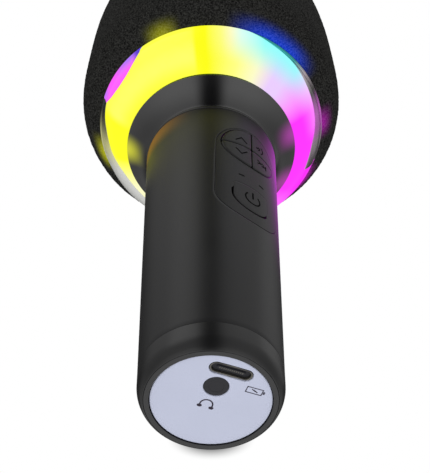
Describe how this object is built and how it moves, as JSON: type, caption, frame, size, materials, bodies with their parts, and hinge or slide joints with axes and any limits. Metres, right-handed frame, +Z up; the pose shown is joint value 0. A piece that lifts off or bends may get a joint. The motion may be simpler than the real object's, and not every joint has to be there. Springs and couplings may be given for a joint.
{
  "type": "karaoke microphone",
  "caption": "Cordless karaoke microphone with a foam head, a lit colour ring, a side button panel and a flat socketed base.",
  "frame": {"origin": "centre of the flat base, at the level it stands on", "axes": "+Z up the handle towards the head; the button panel faces 36.5 degrees from -Y towards +X"},
  "size_m": [0.0834, 0.0834, 0.226],
  "materials": {
    "satin_black": "satin paint over moulded plastic",
    "key_black": "fine moulded texture",
    "lavender": "satin paint",
    "steel": "plated",
    "seam_metal": "satin",
    "chrome": "polished plating",
    "dark_plastic": "moulded",
    "board_green": "solder mask",
    "milky": "lit from inside",
    "accent": "lit from inside",
    "foam": "fine-celled foam",
    "sleeve": "shrink sleeve over the cell",
    "nickel": "nickel plate",
    "ferrite": "sintered",
    "paper": "pressed paper",
    "rubber": "moulded",
    "led": "lamp package",
    "pipe": "clear moulding"
  },
  "bodies": {
    "microphone": {"base_cap": "satin_black", "base_plate": "lavender", "usb_shell": "steel", "usb_tongue": "dark_plastic", "aux_jack": "dark_plastic", "port_board": "board_green", "port_screw_1": "steel", "port_screw_2": "steel", "handle_tube": "satin_black", "button_panel": "satin_black", "volume_up_switch": "nickel", "volume_down_switch": "nickel", "echo_switch": "nickel", "track_switch": "nickel", "power_switch": "nickel", "status_light_left": "pipe", "status_light_right": "pipe", "chassis": "dark_plastic", "main_board": "board_green", "board_screw_1": "steel", "board_screw_2": "steel", "battery_cell": "sleeve", "battery_tab_low": "nickel", "battery_tab_high": "nickel", "seam_ring": "seam_metal", "collar": "satin_black", "light_ring": "milky", "trim_ring": "chrome", "accent_window_left": "accent", "accent_window_right": "accent", "led_board": "board_green", "led_1": "led", "led_2": "led", "led_3": "led", "led_4": "led", "led_5": "led", "led_6": "led", "speaker_magnet": "ferrite", "speaker_surround": "rubber", "speaker_basket": "steel", "speaker_baffle": "dark_plastic", "speaker_screw_1": "steel", "speaker_screw_2": "steel", "speaker_screw_3": "steel", "speaker_screw_4": "steel", "head_foam": "foam", "head_cage": "dark_plastic", "head_base": "dark_plastic", "capsule_bridge": "dark_plastic", "capsule_mount": "rubber", "microphone_capsule": "steel"},
    "volume_up": {"volume_up_key": "key_black"},
    "volume_down": {"volume_down_key": "key_black"},
    "echo": {"echo_key": "key_black"},
    "track": {"track_key": "key_black"},
    "power": {"power_key": "key_black"},
    "speaker_moving": {"speaker_cone": "paper", "dust_cap": "paper", "voice_coil": "nickel"}
  },
  "joints": [
    {"name": "volume_up_press", "type": "slide", "parent": "microphone", "child": "volume_up", "axis": [-0.5948, 0.8039, 0], "range_m": [0, 0.0006], "stiffness_N_per_m": 400, "springref_m": -0.0004},
    {"name": "volume_down_press", "type": "slide", "parent": "microphone", "child": "volume_down", "axis": [-0.5948, 0.8039, 0], "range_m": [0, 0.0006], "stiffness_N_per_m": 400, "springref_m": -0.0004},
    {"name": "echo_press", "type": "slide", "parent": "microphone", "child": "echo", "axis": [-0.5948, 0.8039, 0], "range_m": [0, 0.0006], "stiffness_N_per_m": 400, "springref_m": -0.0004},
    {"name": "track_press", "type": "slide", "parent": "microphone", "child": "track", "axis": [-0.5948, 0.8039, 0], "range_m": [0, 0.0006], "stiffness_N_per_m": 400, "springref_m": -0.0004},
    {"name": "power_press", "type": "hinge", "parent": "microphone", "child": "power", "pos_m": [0.01035, -0.01399, 0.0638], "axis": [0.8039, 0.5948, 0], "range_deg": [0, 3.2], "stiffness_Nm_per_rad": 0.02, "springref_deg": -1.15},
    {"name": "cone_travel", "type": "slide", "parent": "microphone", "child": "speaker_moving", "axis": [0, 0, 1], "range_m": [-0.001, 0.001], "stiffness_N_per_m": 600}
  ]
}
